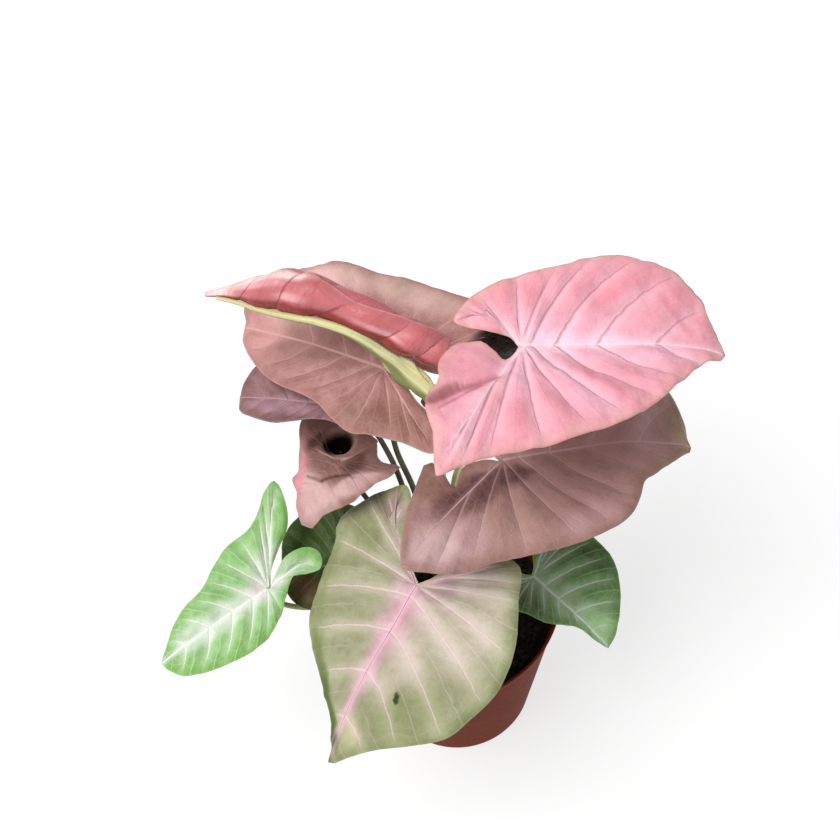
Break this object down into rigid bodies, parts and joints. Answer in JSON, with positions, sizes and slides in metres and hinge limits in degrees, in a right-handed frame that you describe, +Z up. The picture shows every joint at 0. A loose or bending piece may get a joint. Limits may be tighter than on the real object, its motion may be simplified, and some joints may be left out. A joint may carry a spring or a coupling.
{
  "type": "potted syngonium plant",
  "caption": "Young arrowhead vine in a round nursery pot: arrow-shaped pink, mauve and green leaves on slender stalks that rise from potting soil, with the newest leaf still rolled.",
  "frame": {"origin": "centre of the flat underside of the pot", "axes": "+Z up along the axis of the pot; -Y towards the viewer, the side that the front leaf hangs over; +X to the right of that viewer"},
  "size_m": [0.2841, 0.214, 0.2677],
  "materials": {
    "pot": "moulded terracotta-brown plastic with a satin sheen",
    "soil": "moist, crumbly, near-black potting mix",
    "leaf_bright_pink": "waxy living leaf, bright pink with pale veins",
    "leaf_dusty_rose": "waxy living leaf, dusty rose with pale pink veins",
    "leaf_rose_brown": "waxy living leaf, rose brown with a browner margin",
    "leaf_pink_green": "waxy living leaf, cream green with pink along the midrib",
    "leaf_mauve": "waxy living leaf, mauve",
    "leaf_pale_green": "waxy living leaf, pale green with whitish veins",
    "leaf_green": "waxy living leaf, green with grey-white veins",
    "leaf_dark_green": "waxy living leaf, dark green and brown",
    "leaf_coral": "glossy young leaf, coral pink",
    "stalk_green": "smooth green leaf stalk",
    "stalk_pale": "smooth pale yellow-green leaf stalk",
    "stalk_dark": "smooth dark olive leaf stalk"
  },
  "bodies": {
    "root": {"pot": "pot", "soil": "soil", "petiole_top_right": "stalk_pale", "leaf_top_right": "leaf_bright_pink", "petiole_top_left": "stalk_dark", "leaf_top_left": "leaf_dusty_rose", "petiole_mid_right": "stalk_green", "leaf_mid_right": "leaf_rose_brown", "petiole_front": "stalk_green", "leaf_front": "leaf_pink_green", "petiole_mid_left": "stalk_dark", "leaf_mid_left": "leaf_mauve", "petiole_curled": "stalk_dark", "leaf_curled": "leaf_rose_brown", "petiole_low_left": "stalk_green", "leaf_low_left": "leaf_pale_green", "petiole_low_right": "stalk_green", "leaf_low_right": "leaf_green", "petiole_low_back": "stalk_dark", "leaf_low_back": "leaf_dark_green", "petiole_rolled": "stalk_pale", "leaf_rolled": "leaf_coral"}
  },
  "joints": []
}
